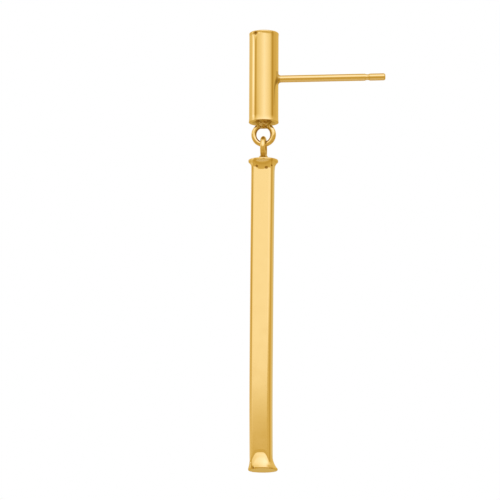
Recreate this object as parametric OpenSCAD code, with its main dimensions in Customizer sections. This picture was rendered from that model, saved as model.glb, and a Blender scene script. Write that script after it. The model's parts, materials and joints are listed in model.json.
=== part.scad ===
// Bar drop earring: a short round stud with an ear post, and a long pressed bar that hangs
// from it, ring through ring. Millimetres; +Z up, +Y back along the post, X across.
// The origin is on the post's axis, where the post leaves the back of the stud.

/* [Stud] */
// Diameter of the stud's round tube
stud_d = 3.06; // [2.6:0.02:4.4]
// Length of the stud between its two end faces
stud_len = 9.66; // [7.5:0.02:16]
// How far the stud's top rim stands out past the tube
top_flare = 0.05; // [0.02:0.01:0.25]
// How far the stud's lower rim stands out past the tube
foot_flare = 0.05; // [0.02:0.01:0.25]
// Length over which the tube widens to each rim
flare_len = 0.6; // [0.3:0.05:2]
// Bevel of the rims' edges, on the stud and on the drop
rim_bevel = 0.06; // [0.01:0.01:0.06]

/* [Ear post] */
// Diameter of the ear post's wire
post_d = 0.74; // [0.6:0.01:1.2]
// Length of the post from the stud's back to its tip
post_len = 11.2; // [8:0.1:14]
// How far the post sits below the stud's top face
post_below_top = 4.98; // [2:0.02:5.5]
// Length of the post's tip, past its groove
tip_len = 1.62; // [0.8:0.02:3]
// Width of the groove that the earring back snaps into
groove_w = 0.52; // [0.3:0.02:1]
// Depth of that groove
groove_depth = 0.07; // [0.02:0.01:0.14]
// Rounding of the post's tip
tip_round = 0.2; // [0.05:0.01:0.28]
// Radius of the solder fillet where the post meets the stud
post_fillet = 0.26; // [0.1:0.02:0.5]

/* [Rings] */
// Outside diameter of each of the two rings
ring_d = 2.58; // [2.1:0.02:4]
// Diameter of the rings' wire
wire_d = 0.54; // [0.3:0.01:0.6]
// How deep each ring is let into the end face that it is soldered to
ring_sink = 0.02; // [0.01:0.01:0.08]
// Radius of the puddle of solder round the foot of each ring
puddle_r = 0.84; // [0.5:0.02:1.1]
// Radius of the puddle's top
puddle_top_r = 0.32; // [0.3:0.01:0.45]
// Height of the puddle's top, up inside the ring
puddle_h = 0.6; // [0.3:0.02:0.64]
// Gap between the two rings where one hangs in the other
link_gap = 0.04; // [0.02:0.01:0.2]

/* [Drop] */
// Length of the drop between its two end faces
drop_len = 32.6; // [18:0.1:60]
// Diameter of the drop's round ends, which its tube had all along before it was pressed
drop_d = 3.06; // [2.6:0.02:4.4]
// Depth of the front flat at the top: the bar lay a little askew in the press
front_at_top = 0.3; // [0.1:0.01:0.5]
// Depth of the front flat at the foot
front_at_foot = 0.22; // [0.1:0.01:0.5]
// Depth of the back flat at the top
back_at_top = 0.38; // [0.1:0.01:0.56]
// Depth of the back flat at the foot
back_at_foot = 0.53; // [0.1:0.01:0.56]
// Depth of the two side flats at the top
side_at_top = 0.4; // [0.1:0.01:0.5]
// Depth of the two side flats at the foot
side_at_foot = 0.42; // [0.1:0.01:0.5]
// Rounding of the four long corners between the flats
corner_round = 0.42; // [0.2:0.02:0.6]
// Height over which the flats run out into the round rim at the top
flare_top = 1.2; // [0.6:0.05:4]
// Height over which the flats run out into the round rim at the foot
flare_foot = 2.2; // [0.6:0.05:4]
// How late the flats run out at the top: 2 is an even sweep, more is a sudden lip
power_top = 2.1; // [1.5:0.1:4]
// How late the flats run out at the foot
power_foot = 4; // [1.5:0.1:5]
// Height of the plain round rim at the top
rim_top = 0.2; // [0.08:0.01:0.6]
// Height of the plain round rim at the foot
rim_foot = 0.16; // [0.08:0.01:0.6]

/* [Hidden] */
$fn = 96;
gold = "#e8b95c";
// Steps in a rounded stretch of an outline, and points round the drop's bar
steps = 6;
sides = 48;
// How far a soldered foot runs into what it stands on
over = 0.05;
stud_r = stud_d / 2;
post_r = post_d / 2;
wire_r = wire_d / 2;
drop_r = drop_d / 2;
// The stud's axis stands this far in front of the origin
axis_y = -stud_r;
stud_top_z = post_below_top;
stud_foot_z = stud_top_z - stud_len;
ring_mid_r = ring_d / 2 - wire_r;
ring_hole_d = ring_d - 2 * wire_d;
// From an end face to the centre of the ring on it
ring_reach = ring_d / 2 - ring_sink;
stud_ring_z = stud_foot_z - ring_reach;
// The drop's ring hangs in the stud's ring, with the gap between the two wires
drop_ring_z = stud_ring_z - ring_hole_d + link_gap;
drop_top_z = drop_ring_z - ring_reach;
// The snap groove's middle along the post, the radius of its round floor, and half its arc
groove_z = post_len - tip_len - groove_w / 2;
groove_r = sweep_r(groove_w / 2, groove_depth);
groove_turn = asin(groove_w / 2 / groove_r);

// Part of a circle, from start_a to end_a degrees, as points
function arc(centre, r, start_a, end_a) = [
    for (i = [0 : steps]) let (a = start_a + (end_a - start_a) * i / steps)
        centre + r * [cos(a), sin(a)]
];

// Radius of the arc that leaves a straight line and stands off it by rise after run
function sweep_r(run, rise) = (run * run + rise * rise) / (2 * rise);

// The stud's outline at one end, from the rim's bevel up to the plain side of the tube
function rim_outline(rise) = let (
    run = flare_len - rim_bevel, bend = sweep_r(run, rise), turn = asin(run / bend)
) concat(
    [[0, 0], [stud_r + rise - rim_bevel, 0]],
    arc([stud_r + bend, flare_len], bend, 180 + turn, 180)
);

// A round skirt of solder with a hollow side, standing on the plane z = 0 and let into it
module solder(core_r, fillet, sink) {
    rotate_extrude() polygon(concat(
        [[0, -sink], [core_r + fillet, -sink]],
        arc([core_r + fillet, fillet], fillet, 270, 180),
        [[0, fillet]]
    ));
}

// A closed ring of round wire that stands on the plane z = 0, in the plane of X and Z
module ring() {
    translate([0, 0, ring_reach]) rotate([90, 0, 0])
        rotate_extrude() translate([ring_mid_r, 0]) circle(r = wire_r);
    translate([0, 0, -over]) cylinder(h = puddle_h + over, r1 = puddle_r, r2 = puddle_top_r);
}

// The stud's tube is closed at both ends, and its side widens a little to each rim
module stud_tube() {
    foot = rim_outline(foot_flare);
    top = rim_outline(top_flare);
    translate([0, axis_y, stud_foot_z]) rotate_extrude() polygon(concat(
        foot, [for (i = [len(top) - 1 : -1 : 0]) [top[i][0], stud_len - top[i][1]]]
    ));
}

// The post is turned from one outline: solder at its root, shaft, snap groove, rounded tip
module ear_post() {
    groove_axis = [post_r - groove_depth + groove_r, groove_z];
    rotate([-90, 0, 0]) {
        solder(post_r, post_fillet, stud_r / 2);
        rotate_extrude() polygon(concat(
            [[0, -stud_r / 2], [post_r, -stud_r / 2]],
            arc(groove_axis, groove_r, 180 + groove_turn, 180 - groove_turn),
            arc([post_r - tip_round, post_len - tip_round], tip_round, 0, 90),
            [[0, post_len]]
        ));
    }
}

module stud() {
    color(gold) union() {
        stud_tube();
        ear_post();
        translate([0, axis_y, stud_foot_z]) rotate([180, 0, 90]) ring();
    }
}

// How far the section at height z has turned round again: 0 along the flats, 1 at the rims
function roundness(z) = let (
    from_foot = 1 - (z - rim_foot) / flare_foot,
    from_top = 1 - (drop_len - rim_top - z) / flare_top
) pow(max(0, min(1, from_foot)), power_foot) + pow(max(0, min(1, from_top)), power_top);

// Distance of a flat from the axis at height z, from its depths at the foot and at the top
function flat_reach(at_foot, at_top, z) = drop_r - at_foot - (at_top - at_foot) * z / drop_len;

// Reach of a round-cornered rectangle in the direction [dx, dy], its sides at x and y
function corner_reach(dx, dy, x, y) = let (cx = x - corner_round, cy = y - corner_round)
    dy * x <= dx * cy ? x / dx :
    dx * y <= dy * cx ? y / dy :
    let (along = cx * dx + cy * dy)
        along + sqrt(corner_round * corner_round + along * along - cx * cx - cy * cy);

// One point of the pressed tube's side: pressed square along its length, round at its ends
function side_point(a, z) = let (
    flat_x = flat_reach(side_at_foot, side_at_top, z),
    front_y = flat_reach(front_at_foot, front_at_top, z),
    back_y = flat_reach(back_at_foot, back_at_top, z),
    pressed = corner_reach(abs(cos(a)), abs(sin(a)), flat_x, a < 180 ? back_y : front_y),
    r = pressed + (drop_r - pressed) * roundness(z)
) [r * cos(a), r * sin(a), z];

// The end face's edge, inside the rim's bevel
function edge_point(a, z) = [(drop_r - rim_bevel) * cos(a), (drop_r - rim_bevel) * sin(a), z];

// The drop's bar is a round tube, closed at both ends, with four flats pressed along it
module drop_bar() {
    heights = concat(
        [rim_bevel],
        [for (i = [0 : steps]) rim_foot + flare_foot * i / steps],
        [for (i = [steps : -1 : 0]) drop_len - rim_top - flare_top * i / steps],
        [drop_len - rim_bevel]
    );
    turns = [for (k = [0 : sides - 1]) 360 * k / sides];
    levels = len(heights) + 2;
    points = concat(
        [for (a = turns) edge_point(a, 0)],
        [for (z = heights, a = turns) side_point(a, z)],
        [for (a = turns) edge_point(a, drop_len)]
    );
    walls = [
        for (n = [0 : levels - 2], k = [0 : sides - 1]) let (next = (k + 1) % sides)
            [n * sides + k, (n + 1) * sides + k, (n + 1) * sides + next, n * sides + next]
    ];
    ends = [
        [for (k = [0 : sides - 1]) k],
        [for (k = [sides - 1 : -1 : 0]) (levels - 1) * sides + k]
    ];
    translate([0, 0, -drop_len]) polyhedron(points, concat(walls, ends));
}

module drop() {
    color(gold) translate([0, axis_y, drop_top_z]) union() {
        drop_bar();
        ring();
    }
}

stud();
drop();
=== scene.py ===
# A bar drop earring in polished 14 karat yellow gold: a short tube stud on an ear post, and a
# long pressed bar that hangs from it, ring through ring. Its shapes are worked out in
# millimetres, in the CAD frame: +Z up, +Y back along the post, X across.
import itertools
import json
import math

import bmesh
import bpy
import numpy as np
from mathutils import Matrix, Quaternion, Vector


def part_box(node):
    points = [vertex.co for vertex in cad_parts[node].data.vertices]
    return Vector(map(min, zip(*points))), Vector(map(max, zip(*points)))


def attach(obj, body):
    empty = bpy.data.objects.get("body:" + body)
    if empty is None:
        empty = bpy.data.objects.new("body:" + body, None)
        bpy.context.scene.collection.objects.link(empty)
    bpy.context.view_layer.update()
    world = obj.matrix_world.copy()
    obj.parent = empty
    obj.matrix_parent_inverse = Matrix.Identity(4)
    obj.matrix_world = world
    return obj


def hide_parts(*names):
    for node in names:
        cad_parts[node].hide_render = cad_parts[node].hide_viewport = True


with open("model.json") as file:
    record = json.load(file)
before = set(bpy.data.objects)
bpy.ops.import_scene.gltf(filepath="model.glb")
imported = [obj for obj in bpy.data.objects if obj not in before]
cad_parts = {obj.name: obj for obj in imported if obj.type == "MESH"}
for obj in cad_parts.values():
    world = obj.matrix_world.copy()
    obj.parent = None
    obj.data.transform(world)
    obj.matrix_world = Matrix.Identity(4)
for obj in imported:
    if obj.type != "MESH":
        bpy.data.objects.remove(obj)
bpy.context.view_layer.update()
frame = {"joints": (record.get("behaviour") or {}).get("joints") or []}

# The stud's tube
# A short length of round gold tube, sawn square, its ends closed with soldered plates. The mop
# that polished it to a mirror wore its top edge round. Its foot keeps a slight, crisper lip.
mm_per_m = 1000
stud_high = np.array(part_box("stud")[1]) * mm_per_m
axis_y = frame["joints"][0]["pos_m"][1] * mm_per_m
tube_r = -axis_y
stud_len = 9.66
stud_foot = stud_high[2] - stud_len
top_lip, top_wear = 0.02, 0.13
foot_lip, foot_wear = 0.03, 0.05
lip_len = 0.6
# The plates keep this much of their own level inside the rounded edge, and are dished in
plate_margin, plate_dish = 0.03, 0.012
tube_columns = 216
column_width = 2 * math.pi * tube_r / tube_columns
# Steps in the mesh: round a worn edge, along a lip, on a plate, and from a lip to the window
edge_steps, lip_steps, plate_steps, side_steps = 8, 20, 12, 9
# The post stands in a square window of the tube's skin, this many cells to each side
window = 16
# Small knocks near the top: degrees round from the post, height, radius and depth
stud_knocks = [
    (120, 9.36, 0.25, 0.07), (104, 9.46, 0.14, 0.03),
    (77, 9.63, 0.06, 0.02), (66, 9.62, 0.06, 0.02), (56, 9.63, 0.07, 0.02), (45, 9.61, 0.06, 0.02),
]


def arc(centre, radius, start, end, steps):
    """Points of a circle's arc from start to end degrees, both included."""
    turn = np.radians(np.linspace(start, end, steps + 1))
    return [(centre[0] + radius * math.cos(a), centre[1] + radius * math.sin(a)) for a in turn]


def lip(rise, wear):
    """The tube's outline from its flat plate, round the worn edge and along the lip."""
    run = lip_len - wear
    bend = (run * run + rise * rise) / (2 * rise)
    turn = math.degrees(math.asin(run / bend))
    rim_r = tube_r + rise
    return (
        [(rim_r - wear - plate_margin, 0)]
        + arc((rim_r - wear, wear), wear, -90, 0, edge_steps)
        + arc((tube_r + bend, lip_len), bend, 180 + turn, 180, lip_steps)[1:]
    )


def turned(outline, columns):
    """Rows of points round the Z axis, one row for each (radius, height) of the outline."""
    angle = 2 * math.pi * np.arange(columns) / columns
    return np.array([
        np.stack([r * np.sin(angle), r * np.cos(angle), np.full(columns, z)], 1)
        for r, z in outline
    ])


def knock_in(rows, knocks):
    """Pushes points in towards the Z axis round each knock."""
    rows = np.array(rows, float)
    for degrees, height, radius, depth in knocks:
        turn = math.radians(degrees)
        middle = (tube_r * math.sin(turn), tube_r * math.cos(turn), height)
        share = np.exp(-((rows - middle) ** 2).sum(-1) / radius ** 2)
        out = np.maximum(np.hypot(rows[..., 0], rows[..., 1]), depth)
        rows[..., :2] *= (1 - depth * share / out)[..., None]
    return rows


def sheet(skin, rows, metal, left_out=lambda row, column: False):
    """Joins rows of points with quads. Each row closes on itself."""
    start = sum(len(points) for points in skin["points"])
    rows = np.asarray(rows, float)
    count, across = rows.shape[:2]
    skin["points"].append(rows.reshape(-1, 3))
    for row, column in itertools.product(range(count - 1), range(across)):
        if left_out(row, column):
            continue
        low = start + row * across
        beside = (column + 1) % across
        skin["faces"].append((low + column, low + beside, low + across + beside, low + across + column))
        skin["metals"].append(metal)


def plate(radius, height, dish):
    """A closing plate's outline from its margin to its middle, dished by the solderer's flame."""
    share = np.linspace(1, 0, plate_steps + 1)
    return [(radius * s, height + dish * (1 - s * s)) for s in share]


def linear(colour):
    """An sRGB hex colour as linear red, green, blue and alpha."""
    parts = [int(colour[i:i + 2], 16) / 255 for i in (1, 3, 5)]
    return [p / 12.92 if p <= 0.04045 else ((p + 0.055) / 1.055) ** 2.4 for p in parts] + [1]


def add(tree, kind, inputs={}, **settings):
    """Adds a node with its settings, and sets each input to a value or links it to a socket."""
    made = tree.nodes.new(kind)
    for name, value in settings.items():
        setattr(made, name, value)
    for name, value in inputs.items():
        if isinstance(value, bpy.types.NodeSocket):
            tree.links.new(value, made.inputs[name])
        else:
            made.inputs[name].default_value = value
    return made


# Clouds in the gold's surface: their size in mm, and the shares of their noise between which
# it goes from its smoothest to its roughest
cloud_mm, cloud_low, cloud_high = 1.4, 0.3, 0.7
# The mirrored light pales towards this at a glance
glance_tint = "#FFF8E3"


def gold(name, light, deep, roughness, line_mm, line_depth_mm):
    """14 karat gold, an alloy with silver and copper. It gives the eye only mirrored light in
    its own colour, paler at a glance. Two near colours lie in soft clouds where the mop bit
    more or less, over the fine lines that the mop or the draw plate left."""
    metal = bpy.data.materials.new(name)
    metal.use_nodes = True
    tree = metal.node_tree
    tree.nodes.clear()
    place = add(tree, "ShaderNodeTexCoord").outputs["Object"]
    line_scale = [mm_per_m / size for size in line_mm]
    stretched = add(tree, "ShaderNodeMapping", {"Vector": place, "Scale": line_scale})
    lines = add(tree, "ShaderNodeTexNoise", {
        "Vector": stretched.outputs[0], "Scale": 1, "Detail": 2, "Roughness": 0.5})
    clouds = add(tree, "ShaderNodeTexNoise", {
        "Vector": place, "Scale": mm_per_m / cloud_mm, "Detail": 3, "Roughness": 0.55})
    colour = add(tree, "ShaderNodeMix", {
        "Factor": clouds.outputs["Fac"], "A": linear(light), "B": linear(deep)}, data_type="RGBA")
    bloom = add(tree, "ShaderNodeMapRange", {
        "Value": clouds.outputs["Fac"], "From Min": cloud_low, "From Max": cloud_high,
        "To Min": roughness[0], "To Max": roughness[1]})
    relief = add(tree, "ShaderNodeBump", {
        "Height": lines.outputs["Fac"], "Strength": 1, "Distance": line_depth_mm / mm_per_m})
    surface = add(tree, "ShaderNodeBsdfPrincipled", {
        "Base Color": colour.outputs["Result"], "Metallic": 1, "Roughness": bloom.outputs["Result"],
        "Specular Tint": linear(glance_tint), "Normal": relief.outputs["Normal"]})
    add(tree, "ShaderNodeOutputMaterial", {"Surface": surface.outputs[0]})
    return metal


# The polishing lines run along the tube. They are 2 microns wide, and drawn as 0.25 mm
mopped_gold = gold("mopped_gold_tube", "#FCD990", "#FAD58B", (0.04, 0.07), (0.25, 0.25, 9), 0.0004)
stud = {"points": [], "faces": [], "metals": []}
window_low = -stud_foot - window * column_width
window_high = -stud_foot + window * column_width
foot_outline = lip(foot_lip, foot_wear)
top_outline = [(r, stud_len - z) for r, z in reversed(lip(top_lip, top_wear))]
side_heights = np.concatenate([
    np.linspace(lip_len, window_low, side_steps + 1)[1:],
    np.linspace(window_low, window_high, 2 * window + 1)[1:],
    np.linspace(window_high, stud_len - lip_len, side_steps + 1)[1:-1],
])
top_plate = plate(top_outline[-1][0], stud_len, -plate_dish)
outline = foot_outline + [(tube_r, z) for z in side_heights] + top_outline + top_plate[1:]
stud_place = (0, axis_y, stud_foot)
stud_rows = knock_in(turned(outline, tube_columns), stud_knocks) + stud_place
window_row = len(foot_outline) + side_steps - 1
sheet(stud, stud_rows, mopped_gold, lambda row, column: (
    window_row <= row < window_row + 2 * window
    and (column < window or column >= tube_columns - window)
))
# Painted shade: the bottoms of the deeper knocks get a darker, rougher gold that stands in for the shade in
# them
knock_shade_gold = gold("painted_shade_in_knocks", "#BF8F40", "#9A6E2A", (0.2, 0.3), (0.3, 0.3, 0.3), 0.001)
# It fills this share of a knock's radius, in knocks at least this deep in mm, and only lies on
# the tube's skin, from this share of its radius out
dark_share, dark_from, skin_share = 0.75, 0.05, 0.75


def darken(skin, knocks, place):
    """Gives the faces at the bottom of each deeper knock their painted shade."""
    middle = (np.concatenate(skin["points"]) - place)[np.array(skin["faces"])].mean(1)
    turn = np.arctan2(middle[:, 0], middle[:, 1])
    out = np.hypot(middle[:, 0], middle[:, 1])
    for degrees, height, radius, depth in knocks:
        aside = abs(np.remainder(turn - math.radians(degrees) + math.pi, 2 * math.pi) - math.pi) * out
        near = np.hypot(aside, middle[:, 2] - height) < radius * dark_share
        for face in np.flatnonzero(near & (out > tube_r * skin_share) & (depth >= dark_from)):
            skin["metals"][face] = knock_shade_gold


darken(stud, stud_knocks, stud_place)

# The ear post
# A straight gold wire butted and soldered to the tube's back, so a small hollow fillet of
# solder runs round its root. A snap groove is rolled in near the tip, and the tip is rounded.
post_r = 0.37
post_len = stud_high[1]
post_fillet = 0.26
groove_w, groove_depth = 0.52, 0.07
tip_len, tip_round = 1.62, 0.2
groove_middle = post_len - tip_len - groove_w / 2
groove_r = ((groove_w / 2) ** 2 + groove_depth ** 2) / (2 * groove_depth)
groove_turn = math.degrees(math.asin(groove_w / 2 / groove_r))
# The mesh of the bare wire starts this far out, and keeps this clear of the groove
wire_start, groove_margin = 0.5, 0.04
# Steps in the mesh: over the window, up the fillet, along the wire, in the groove, past it and
# round the tip, whose flat end has rows at these shares of its radius
skin_steps, fillet_steps, wire_steps, groove_steps, end_steps, tip_steps = 4, 9, 15, 16, 4, 10
tip_shares = (0.8, 0.4, 0)
# Draw lines run along the wire, and the solder is a little duller and less smooth
drawn_gold = gold("drawn_gold_wire", "#FCD990", "#F8D289", (0.05, 0.09), (0.2, 3, 0.2), 0.0005)
solder_gold = gold("flowed_gold_solder", "#E8C47C", "#D2A95C", (0.10, 0.20), (0.3, 0.3, 0.3), 0.001)
walk = range(-window, window)
square = np.array(
    [(window, b) for b in walk] + [(-a, window) for a in walk]
    + [(-window, -b) for b in walk] + [(a, -window) for a in walk]
)
tube_angle = square[:, 0] * column_width / tube_r
window_edge = np.stack([tube_r * np.sin(tube_angle), square[:, 1] * column_width], 1)
post_angle = np.arctan2(window_edge[:, 1], window_edge[:, 0])
around_post = np.stack([np.cos(post_angle), np.sin(post_angle)], 1)


def on_tube(across, height):
    """Points at across = (x, z) that stand height above the tube's skin."""
    y = axis_y + np.sqrt(tube_r ** 2 - across[:, 0] ** 2) + height
    return np.stack([across[:, 0], y, across[:, 1]], 1)


foot_r = post_r + post_fillet
fillet_rows = [
    on_tube(window_edge * (1 - share) + foot_r * around_post * share, 0)
    for share in np.linspace(0, 1, skin_steps + 1)
]
for r, rise in arc((foot_r, post_fillet), post_fillet, 270, 180, fillet_steps)[1:]:
    fillet_rows.append(on_tube(r * around_post, rise))
sheet(stud, fillet_rows, solder_gold)
groove_centre = (post_r - groove_depth + groove_r, groove_middle)
groove_start = groove_middle - groove_w / 2 - groove_margin
groove_end = groove_middle + groove_w / 2 + groove_margin
tip_r = post_r - tip_round
shaft = (
    [(post_r, y) for y in np.linspace(wire_start, groove_start, wire_steps + 1)]
    + arc(groove_centre, groove_r, 180 + groove_turn, 180 - groove_turn, groove_steps)
    + [(post_r, y) for y in np.linspace(groove_end, post_len - tip_round, end_steps + 1)[:-1]]
    + arc((tip_r, post_len - tip_round), tip_round, 0, 90, tip_steps)
    + [(tip_r * share, post_len) for share in tip_shares]
)
shaft_rows = [fillet_rows[-1]] + [
    np.stack([r * around_post[:, 0], np.full(len(around_post), y), r * around_post[:, 1]], 1)
    for r, y in shaft
]
sheet(stud, shaft_rows, drawn_gold)

# The two rings
# Each is a closed ring of round gold wire, stood on an end plate and soldered there. The
# solder lies in a lumpy puddle round the ring's foot, and was drawn up inside the ring.
ring_d, wire_d, ring_sink = 2.58, 0.54, 0.02
wire_r = wire_d / 2
ring_mid_r = ring_d / 2 - wire_r
ring_reach = ring_d / 2 - ring_sink
# The rings hang this much short of touching
link_gap = 0.04
puddle_top_r, puddle_h = 0.32, 0.6
# Painted shade: the gold on the hole's side of each ring's wire is painted darker, and is a little rougher
ring_hole_shade_gold = gold("painted_shade_in_ring_holes", "#D2A650", "#B98D3D", (0.12, 0.20), (0.3, 0.3, 0.3), 0.001)
# That side of a wire starts this share of its radius in from its middle
hole_share = 0.5
# How far the solder's skin is rounded where it meets the plate, and at its other edges
plate_flow, edge_flow = 0.22, 0.15
# Lumps in the solder, coarse and fine, that fade with height over the reach: how high they
# stand, their waves along x, y and z, and the shifts of the first two
lump_reach = 0.55
coarse_high, coarse_waves, coarse_shift = 0.02, (8.1, 9.7, 7), (1.3, 0.6)
fine_high, fine_waves, fine_shift = 0.012, (17, 15, 13), (2, 1)
swell_power = 3
# The net over ring and solder: its cells, the disc of the plate that it covers, and its box
cell = 0.03
patch_r = 1.41
patch_low = (-1.455, -1.455, -0.055)
patch_high = (1.455, 1.455, 2.65)
# How often its points are settled on the skin and evened out, each time by this share
settle_times, even_times, even_share = 3, 6, 0.6
# A face this low is still the end plate's, and points this near each other are welded
plate_skin, weld = 0.004, 0.0005


def blend(a, b, reach):
    """The nearer of two distances, rounded where they meet, as flowing solder rounds a corner."""
    share = np.clip(0.5 + 0.5 * (b - a) / reach, 0, 1)
    return b * (1 - share) + a * share - reach * share * (1 - share)


def ring_on_plate(place, swell, puddle_r):
    """Distance to a plate at height 0 with a ring soldered upright on it, thicker on one side."""
    x, y, z = place[..., 0], place[..., 1], place[..., 2]
    out = np.hypot(x, z - ring_reach)
    side = np.clip(x / np.maximum(out, cell), 0, 1) ** swell_power
    ring = np.hypot(out - ring_mid_r + swell * side, y) - wire_r - swell * side
    slope = puddle_r - puddle_top_r
    cone = ((np.hypot(x, y) - puddle_r) * puddle_h + z * slope) / math.hypot(puddle_h, slope)
    puddle = -blend(-cone, puddle_h - z, edge_flow)
    near_joint = np.exp(-(z / lump_reach) ** 2)
    coarse = (
        coarse_high * np.sin(coarse_waves[0] * x + coarse_shift[0])
        * np.sin(coarse_waves[1] * y + coarse_shift[1]) * np.cos(coarse_waves[2] * z)
    )
    fine = (
        fine_high * np.sin(fine_waves[0] * x + fine_shift[0])
        * np.sin(fine_waves[1] * y + fine_shift[1]) * np.sin(fine_waves[2] * z)
    )
    return blend(blend(ring, puddle, edge_flow) + near_joint * (coarse + fine), z, plate_flow)


def net(field):
    """The skin where field is zero, as points and quads, one point to each grid cell it cuts."""
    lines = [np.arange(a, b + cell / 2, cell) for a, b in zip(patch_low, patch_high)]
    inside = field(np.stack(np.meshgrid(*lines, indexing="ij"), -1)) < 0
    size = [len(line) - 1 for line in lines]
    corners = sum(
        inside[a:a + size[0], b:b + size[1], c:c + size[2]].astype(int)
        for a, b, c in itertools.product((0, 1), repeat=3)
    )
    middle_x, middle_y = [line[:-1] + cell / 2 for line in lines[:2]]
    kept = np.hypot(middle_x[:, None], middle_y) < patch_r
    cut = (corners > 0) & (corners < 8) & kept[..., None]
    number = np.full(size, -1)
    number[cut] = np.arange(cut.sum())
    points = np.array(patch_low) + (np.argwhere(cut) + 0.5) * cell
    quads = []
    for axis in range(3):
        u, v = (axis + 1) % 3, (axis + 2) % 3
        along_u, along_v = np.eye(3, dtype=int)[u], np.eye(3, dtype=int)[v]
        edge = np.argwhere(np.diff(inside.astype(int), axis=axis) != 0)
        edge = edge[(edge[:, u] > 0) & (edge[:, u] < size[u]) & (edge[:, v] > 0) & (edge[:, v] < size[v])]
        cells = [edge - along_u - along_v, edge - along_v, edge, edge - along_u]
        quad = np.stack([number[tuple(c.T)] for c in cells], 1)
        falling = ~inside[tuple(edge.T)]
        quad[falling] = quad[falling][:, ::-1]
        quads.append(quad[(quad >= 0).all(1)])
    return points, np.concatenate(quads)


def settle(points, field):
    """Moves points straight onto the skin where field is zero."""
    small = cell / 20
    for _ in range(settle_times):
        slope = np.stack([
            (field(points + step) - field(points - step)) / (2 * small) for step in np.eye(3) * small
        ], 1)
        points = points - slope * (field(points) / (slope ** 2).sum(1))[:, None]
    return points


def smooth_net(field):
    """A net whose points lie on the skin and are spread evenly; its open border stays put."""
    points, quads = net(field)
    points = settle(points, field)
    pairs = np.concatenate([quads[:, [k, (k + 1) % 4]] for k in range(4)])
    pairs = np.concatenate([pairs, pairs[:, ::-1]])
    links = np.bincount(pairs[:, 0], minlength=len(points))
    uses = {}
    for a, b in np.sort(pairs[: len(pairs) // 2], axis=1).tolist():
        uses[a, b] = uses.get((a, b), 0) + 1
    border = np.unique([end for ends, count in uses.items() if count == 1 for end in ends])
    free = links > 0
    free[border] = False
    for _ in range(even_times):
        middle = np.stack([
            np.bincount(pairs[:, 0], points[pairs[:, 1], k], len(points)) for k in range(3)
        ], 1) / np.maximum(links, 1)[:, None]
        moved = points[free] * (1 - even_share) + middle[free] * even_share
        points[free] = settle(moved, field)
    return points, quads


def add_ring(skin, swell, puddle_r, turn, place):
    """Adds a ring and its solder to a skin, turned by a matrix and moved to its plate."""
    points, quads = smooth_net(lambda p: ring_on_plate(p, swell, puddle_r))
    start = sum(len(p) for p in skin["points"])
    highest = points[quads][:, :, 2].max(1)
    middle = points[quads].mean(1)
    in_hole = np.hypot(middle[:, 0], middle[:, 2] - ring_reach) < ring_mid_r - wire_r * hole_share
    skin["points"].append(points @ np.array(turn, float).T + place)
    skin["faces"] += [tuple(quad) for quad in (quads + start).tolist()]
    # Faces on the hole's side of a wire take the gold with painted shade
    skin["metals"] += [
        mopped_gold if top < plate_skin
        else solder_gold if height < puddle_h
        else ring_hole_shade_gold if hidden
        else drawn_gold
        for top, height, hidden in zip(highest, middle[:, 2], in_hole)
    ]


def make_piece(name, skin, body):
    """Welds a skin into one closed mesh, closes the plate round the ring and dresses it."""
    mesh = bpy.data.meshes.new(name)
    mesh.from_pydata((np.concatenate(skin["points"]) / mm_per_m).tolist(), [], skin["faces"])
    metals = list(dict.fromkeys(skin["metals"]))
    for metal in metals:
        mesh.materials.append(metal)
    mesh.polygons.foreach_set("material_index", [metals.index(metal) for metal in skin["metals"]])
    work = bmesh.new()
    work.from_mesh(mesh)
    bmesh.ops.remove_doubles(work, verts=work.verts, dist=weld / mm_per_m)
    bmesh.ops.delete(work, geom=[v for v in work.verts if not v.link_faces], context="VERTS")
    rim = [e for e in work.edges if e.is_boundary]
    bmesh.ops.triangle_fill(work, edges=rim, use_beauty=True, normal=(0, 0, 1))
    bmesh.ops.recalc_face_normals(work, faces=work.faces)
    for face in work.faces:
        face.smooth = True
    work.to_mesh(mesh)
    work.free()
    piece = bpy.data.objects.new(name, mesh)
    bpy.context.scene.collection.objects.link(piece)
    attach(piece, body)
    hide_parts(body)


# The stud's ring is thicker on the post's side, and its solder ran wider than the drop's
stud_swell, stud_puddle_r = 0.035, 0.95
drop_swell, drop_puddle_r = 0.0, 0.66
hanging_down = [[0, 1, 0], [1, 0, 0], [0, 0, -1]]
add_ring(stud, stud_swell, stud_puddle_r, hanging_down, stud_place)
make_piece("gold_stud", stud, "stud")

# The pressed bar
# A round tube, its ends closed with soldered plates, that lay a little askew when it was
# pressed between flat jaws. Four flats with soft corners run down it, and run out into the
# ends, which stayed round and stand out as rims: an even sweep at the top, a scoop at the foot.
drop_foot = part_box("drop")[0][2] * mm_per_m
drop_top = stud_foot - 2 * ring_reach - (ring_d - 2 * wire_d) + link_gap
drop_len = drop_top - drop_foot
# Each flat's depth at the foot and at the top
flat_depth = {"front": (0.235, 0.35), "back": (0.59, 0.43), "side": (0.42, 0.40)}
corner_round = {"front": 0.33, "back": 0.42}
rim_foot, scoop, scoop_power = 0.16, 2.2, 3.2
rim_top, sweep, sweep_power = 0.2, 1.7, 5.5
rim_wear = 0.05
# The top rim is spread a little, more to the front, and the foot's rim is rubbed in low down
rim_spread, rim_askew, rim_rub, rub_high = 0.018, 0.026, 0.05, 0.15
spread_power = 4
# Towards its corners each flat runs out later, and how square the lines of one delay are
corner_delay, delay_power, latest, squareness = 2.4, 4.6, 1.4, 8
# The bar is a little bowed, and its foot kicks back
bow, kick, kick_len = 0.035, 0.05, 5
# Over the scoop the jaw's end left a shallow waist: where in the scoop, how wide, how deep
waist_at, waist_width, waist_depth = 0.30, 0.09, 0.015
bar_columns = 240
# Rows in the mesh, from the foot up
rows_in = {"edge": 6, "foot rim": 4, "scoop": 60, "side": 59, "sweep": 30, "top rim": 3}
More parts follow.
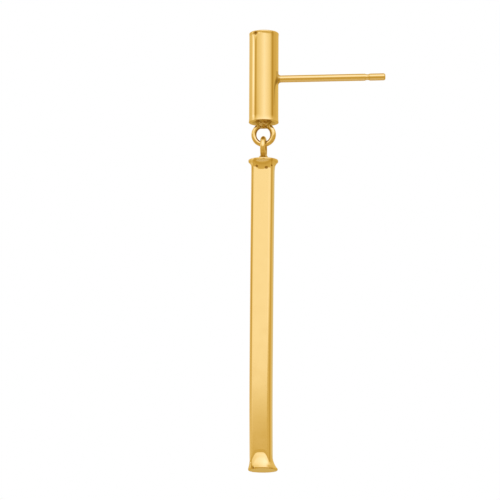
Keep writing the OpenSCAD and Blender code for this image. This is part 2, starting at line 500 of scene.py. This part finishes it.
# Small knocks in both rims: degrees round from the back, height, radius and depth
bar_knocks = [
    (117, 31.74, 0.17, 0.06), (70, 31.58, 0.22, 0.06), (46, 31.80, 0.13, 0.05),
    (84, 32.36, 0.09, 0.03), (124, 0.14, 0.15, 0.05), (112, 0.06, 0.10, 0.04),
    (49, 0.08, 0.13, 0.03),
]


def flat_reach(side, z):
    """Distance of a flat from the bar's axis at height z."""
    at_foot, at_top = flat_depth[side]
    return tube_r - at_foot - (at_top - at_foot) * z / drop_len


def rounded_reach(dx, dy, x, y, corner):
    """Reach of a round-cornered rectangle, its sides at x and y, in the directions dx, dy."""
    cx, cy = x - corner, y - corner
    along = cx * dx + cy * dy
    round_part = along + np.sqrt(np.maximum(corner ** 2 + along ** 2 - cx ** 2 - cy ** 2, 0))
    tiny = 1e-9
    side_part = x / np.maximum(dx, tiny)
    end_part = y / np.maximum(dy, tiny)
    return np.where(dy * x <= dx * cy, side_part, np.where(dx * y <= dy * cx, end_part, round_part))


def bar_section(z, inset=0.0):
    """The bar's section at height z above its foot."""
    angle = 2 * math.pi * np.arange(bar_columns) / bar_columns
    dx, dy = np.sin(angle), np.cos(angle)
    from_foot = min(max(1 - (z - rim_foot) / scoop, 0), 1)
    from_top = min(max(1 - (drop_len - rim_top - z) / sweep, 0), 1)
    front, back, beside = [flat_reach(side, z) for side in ("front", "back", "side")]
    pressed = np.where(
        dy > 0,
        rounded_reach(abs(dx), abs(dy), beside, back, corner_round["back"]),
        rounded_reach(abs(dx), abs(dy), beside, front, corner_round["front"]),
    )
    depth = np.maximum(tube_r - pressed, 0)
    # How far a point lies from the middle of its flat: 1 where the round corner starts
    off_middle = (pressed * dy - (back - front) / 2) / ((back + front) / 2 - corner_round["back"])
    off_side = pressed * dx / (beside - corner_round["back"])
    either = (off_middle ** squareness + off_side ** squareness) ** (1 / squareness)
    off = abs(off_middle * off_side) / either
    power = scoop_power + corner_delay * np.minimum(off, latest) ** delay_power
    r = pressed + depth * (from_foot ** power + from_top ** sweep_power)
    r = r + (rim_spread - rim_askew * dy) * from_top ** spread_power - rim_rub * max(0, 1 - z / rub_high)
    # The waist follows the scoop's start, so it arches over the scoop on each flat
    start = from_foot ** (power / scoop_power)
    r = r - waist_depth * np.exp(-((start - waist_at) / waist_width) ** 2) - inset
    share = z / drop_len
    aside = kick * math.exp(-(z / kick_len) ** 2) - 4 * bow * share * (1 - share)
    return np.stack([r * dx, r * dy + aside, np.full(bar_columns, z)], 1)


edge = arc((0, rim_wear), rim_wear, -90, 0, rows_in["edge"])
heights = np.concatenate([
    np.linspace(rim_wear, rim_foot, rows_in["foot rim"] + 1)[1:],
    rim_foot + scoop * np.linspace(0, 1, rows_in["scoop"] + 1)[1:],
    np.linspace(rim_foot + scoop, drop_len - rim_top - sweep, rows_in["side"] + 1)[1:],
    drop_len - rim_top - sweep * np.linspace(1, 0, rows_in["sweep"] + 1)[1:],
    np.linspace(drop_len - rim_top, drop_len - rim_wear, rows_in["top rim"] + 1)[1:],
])
foot_plate = plate(tube_r - rim_rub - rim_wear - plate_margin, 0, plate_dish)
bar_rows = (
    list(turned(reversed(foot_plate), bar_columns) + (0, kick, 0))
    + [bar_section(z, rim_wear - x) for x, z in edge]
    + [bar_section(z) for z in heights]
    + [bar_section(drop_len - z, rim_wear - x) for x, z in reversed(edge[:-1])]
    + [bar_section(drop_len, rim_wear + plate_margin)]
)
drop = {"points": [], "faces": [], "metals": []}
bar_place = (0, axis_y, drop_foot)
sheet(drop, knock_in(bar_rows, bar_knocks) + bar_place, mopped_gold)
darken(drop, bar_knocks, bar_place)
add_ring(drop, drop_swell, drop_puddle_r, np.eye(3), (0, axis_y, drop_top))
make_piece("gold_drop", drop, "drop")

# The camera
# A long lens looks along the ears' line, a little from behind and from below, so the end
# plates show as thin ovals and the post stands to the right.
azimuth, elevation = math.radians(96), math.radians(-11.6)
distance, frame_width = 0.4, 0.0518
# The lens looks at this height in mm, this far left of the tubes' axis in metres, and rolls
look_height, look_left, roll = -18.22, 0.00137, math.radians(0.25)
towards_camera = Vector((
    math.sin(azimuth) * math.cos(elevation),
    -math.cos(azimuth) * math.cos(elevation),
    math.sin(elevation),
))
image_right = Vector((math.cos(azimuth), math.sin(azimuth), 0))
target = Vector((0, axis_y, look_height)) / mm_per_m - image_right * look_left
lean = Quaternion((0, 0, 1), roll)
lens = bpy.data.cameras.new("camera")
lens.sensor_width = 36
lens.lens = lens.sensor_width * distance / frame_width
lens.clip_start, lens.clip_end = 0.01, 100
camera = bpy.data.objects.new("camera", lens)
camera.location = target + towards_camera * distance
camera.rotation_euler = (towards_camera.to_track_quat("Z", "Y") @ lean).to_euler()
bpy.context.scene.collection.objects.link(camera)
bpy.context.scene.camera = camera

# The studio
# A small pale table far below, inside a white tent lit from outside, most of all by a window
# on the left. The tent's walls stop at an edge above the table's level, and what is under
# that edge gives polished gold its dark tones.
table_drop, table_half = 0.25, 0.15
corners = [(-1, -1), (1, -1), (1, 1), (-1, 1)]
table_corners = [(x * table_half, y * table_half, -table_drop) for x, y in corners]
table_mesh = bpy.data.meshes.new("table")
table_mesh.from_pydata(table_corners, [], [(0, 1, 2, 3)])
table = bpy.data.objects.new("table", table_mesh)
bpy.context.scene.collection.objects.link(table)
# Matt paper: soft and even to the eye, with fibres a millimetre long that barely show
paper = bpy.data.materials.new("matt_paper")
paper.use_nodes = True
paper.node_tree.nodes.clear()
fibre = add(paper.node_tree, "ShaderNodeTexNoise", {"Scale": mm_per_m, "Detail": 3})
tone = add(paper.node_tree, "ShaderNodeMix", {
    "Factor": fibre.outputs["Fac"], "A": linear("#E6E2D8"), "B": linear("#E1DCD0")}, data_type="RGBA")
matt = add(paper.node_tree, "ShaderNodeBsdfPrincipled", {
    "Base Color": tone.outputs["Result"], "Roughness": 0.9})
add(paper.node_tree, "ShaderNodeOutputMaterial", {"Surface": matt.outputs[0]})
table_mesh.materials.append(paper)

# The tent's walls: degrees to the right of the camera's own direction, and the light there
walls = [
    (-180, 0.66), (-150, 0.72), (-128, 0.68), (-110, 0.74), (-101, 1.00), (-95, 1.32), (-87, 1.28),
    (-79, 0.84), (-71, 0.38), (-65, 0.42), (-56, 0.76), (-40, 0.84), (-25, 0.92), (-9, 1.04),
    (3, 1.12), (14, 1.06), (30, 0.97), (44, 0.88), (54, 0.76), (62, 0.54), (70, 0.35), (76, 0.36),
    (84, 0.54), (100, 0.54), (125, 0.62), (180, 0.70),
]
# Below the sill of the window on the left, the walls' own light at the same degrees
low_walls = [
    (-180, 0.60), (-128, 0.62), (-101, 0.66), (-89, 0.56), (-77, 0.40), (-66, 0.37), (-54, 0.46),
    (-42, 0.68), (-30, 0.88), (-9, 1.04), (3, 1.12), (14, 1.06), (30, 0.97), (44, 0.88), (54, 0.76),
    (62, 0.54), (70, 0.35), (76, 0.36), (84, 0.54), (100, 0.54), (125, 0.62), (180, 0.60),
]
# How much of the window is seen: degrees of height, and the share. Its sill is a low band
window_seen = [(9, 0.55), (10.4, 0), (12.9, 0), (13.3, 1)]
# Under the tent's edge: degrees of height, and the light there
under = [
    (-90, 0.60), (-66, 0.60), (-50, 0.54), (-34, 0.43), (-22, 0.46), (-8, 0.53), (2, 0.53), (9, 0.57),
]
# The share of it that is left at each side: degrees to the right of the camera's direction
under_sides = [
    (-180, 0.98), (-130, 1.05), (-110, 1.12), (-95, 1.3), (-82, 1.02), (-68, 0.84), (-50, 0.94),
    (-30, 0.97), (50, 1), (64, 0.68), (74, 0.66), (86, 1.02), (120, 1.05), (180, 0.98),
]
# The tent's edge in degrees: its height, how far it rises and to which side, and its softness
edge_height, edge_rise, edge_rise_at, edge_soft = 8.0, 2.6, 50, 0.42
# The roof takes over from the walls between these heights, and dims overhead. Its light by
# degrees of height, and the share of it at degrees to the right
roof_start, roof_end = 14, 26
roof = [(14, 1.06), (24, 1.16), (40, 1.12), (62, 0.98), (74, 0.84), (84, 0.66), (90, 0.60)]
roof_sides = [
    (-180, 0.62), (-110, 0.64), (-70, 0.80), (-40, 0.97), (40, 1), (66, 0.86), (90, 0.62), (180, 0.62),
]
# A lamp glows through the roof: degrees of height and to the right, its core, reach and light
lamp_height, lamp_side, lamp_core, lamp_reach, lamp_light = 50, 16, 8, 38, 0.20
# Light that comes to the eye off two golds is a power of the tent's, in this dim colour, so
# that crevices stay dark. Light off one gold has made one bounce, which is fewer than this
twice_power, twice_off, bounces_past = 0.5, (0.66, 0.68, 0.48), 1.5
# The light is warmer where it is dimmer: the powers of its red, green and blue
warmth = (0.68, 1, 2.3)
# A ramp holds light up to this
most_light = 1.4


def light_ramp(tree, stops, place):
    """Light read off (degrees, light) stops, where place is radians over 2 pi plus a half."""
    ramp = add(tree, "ShaderNodeValToRGB", {"Fac": place})
    marks = ramp.color_ramp.elements
    marks.remove(marks[-1])
    for number, (degrees, light) in enumerate(stops):
        mark = marks[0] if number == 0 else marks.new(degrees / 360 + 0.5)
        mark.position = degrees / 360 + 0.5
        mark.color = [light / most_light] * 3 + [1]
    return add(tree, "ShaderNodeMath", {
        0: ramp.outputs["Color"], 1: most_light}, operation="MULTIPLY").outputs[0]


world = bpy.data.worlds.new("white_tent")
bpy.context.scene.world = world
world.use_nodes = True
tent = world.node_tree
tent.nodes.clear()
sky = add(tent, "ShaderNodeTexCoord").outputs["Generated"]
camera_side = math.atan2(towards_camera.y, towards_camera.x)
turned_sky = add(tent, "ShaderNodeVectorRotate", {
    "Vector": sky, "Angle": -camera_side}, rotation_type="Z_AXIS").outputs[0]
part = add(tent, "ShaderNodeSeparateXYZ", {"Vector": turned_sky})
side = add(tent, "ShaderNodeMath", {
    0: part.outputs["Y"], 1: part.outputs["X"]}, operation="ARCTAN2").outputs[0]
height = add(tent, "ShaderNodeMath", {0: part.outputs["Z"]}, operation="ARCSINE").outputs[0]
side_place, height_place = [
    add(tent, "ShaderNodeMath", {0: angle, 1: 1 / (2 * math.pi), 2: 0.5}, operation="MULTIPLY_ADD").outputs[0]
    for angle in (side, height)
]
wall_light = add(tent, "ShaderNodeMix", {
    "Factor": light_ramp(tent, window_seen, height_place),
    "A": light_ramp(tent, low_walls, side_place), "B": light_ramp(tent, walls, side_place),
}).outputs["Result"]
under_light = add(tent, "ShaderNodeMath", {
    0: light_ramp(tent, under, height_place), 1: light_ramp(tent, under_sides, side_place),
}, operation="MULTIPLY").outputs[0]
lamp_way = Vector((1, 0, math.tan(math.radians(lamp_height)))).normalized()
lamp_way.rotate(Quaternion((0, 0, 1), math.radians(lamp_side)))
from_lamp = add(tent, "ShaderNodeVectorMath", {
    0: turned_sky, 1: lamp_way}, operation="DOT_PRODUCT").outputs["Value"]
glow = add(tent, "ShaderNodeMapRange", {
    "Value": from_lamp, "From Min": math.cos(math.radians(lamp_reach)),
    "From Max": math.cos(math.radians(lamp_core)), "To Min": 0, "To Max": lamp_light})
roof_light = add(tent, "ShaderNodeMath", {
    0: light_ramp(tent, roof, height_place), 1: light_ramp(tent, roof_sides, side_place),
    2: glow.outputs["Result"],
}, operation="MULTIPLY_ADD").outputs[0]
rise_way = Vector((math.cos(math.radians(edge_rise_at)), math.sin(math.radians(edge_rise_at)), 0))
rise = add(tent, "ShaderNodeVectorMath", {
    0: turned_sky, 1: rise_way * math.radians(edge_rise)}, operation="DOT_PRODUCT").outputs["Value"]
above = add(tent, "ShaderNodeMath", {0: height, 1: rise}, operation="SUBTRACT").outputs[0]
over_edge = add(tent, "ShaderNodeMapRange", {
    "Value": above, "From Min": math.radians(edge_height - edge_soft),
    "From Max": math.radians(edge_height + edge_soft)}).outputs["Result"]
side_light = add(tent, "ShaderNodeMix", {
    "Factor": over_edge, "A": under_light, "B": wall_light}).outputs["Result"]
over_head = add(tent, "ShaderNodeMapRange", {
    "Value": height, "From Min": math.radians(roof_start),
    "From Max": math.radians(roof_end)}).outputs["Result"]
all_light = add(tent, "ShaderNodeMix", {
    "Factor": over_head, "A": side_light, "B": roof_light}).outputs["Result"]
colours = [
    add(tent, "ShaderNodeMath", {0: all_light, 1: power}, operation="POWER").outputs[0] for power in warmth
]
warm = add(tent, "ShaderNodeCombineColor", dict(zip(("Red", "Green", "Blue"), colours))).outputs["Color"]
softened = add(tent, "ShaderNodeMath", {0: all_light, 1: twice_power}, operation="POWER").outputs[0]
dim = add(tent, "ShaderNodeVectorMath", {0: twice_off, "Scale": softened}, operation="SCALE").outputs[0]
path = add(tent, "ShaderNodeLightPath")
twice = add(tent, "ShaderNodeMath", {
    0: path.outputs["Glossy Depth"], 1: bounces_past}, operation="GREATER_THAN").outputs[0]
mirrored = add(tent, "ShaderNodeMix", {
    "Factor": twice, "A": warm, "B": dim}, data_type="RGBA").outputs["Result"]
shown = add(tent, "ShaderNodeMix", {
    "Factor": path.outputs["Is Camera Ray"], "A": mirrored, "B": (1, 1, 1, 1)}, data_type="RGBA")
lit = add(tent, "ShaderNodeBackground", {"Color": shown.outputs["Result"], "Strength": 1})
add(tent, "ShaderNodeOutputWorld", {"Surface": lit.outputs[0]})

# A soft light above the camera, for the table's sake: the gold mirrors only the tent
key_height, key_distance, key_size, key_watts = 34, 0.7, 0.42, 0.2
key_light = bpy.data.lights.new("window_light", "AREA")
key_light.shape = "SQUARE"
key_light.size = key_size
key_light.energy = key_watts
key = bpy.data.objects.new("window_light", key_light)
key_direction = Vector((
    math.cos(camera_side) * math.cos(math.radians(key_height)),
    math.sin(camera_side) * math.cos(math.radians(key_height)),
    math.sin(math.radians(key_height)),
))
key.location = target + key_direction * key_distance
key.rotation_euler = key_direction.to_track_quat("Z", "Y").to_euler()
key.visible_camera = False
key.visible_glossy = False
bpy.context.scene.collection.objects.link(key)
bpy.context.scene.view_settings.view_transform = "Standard"
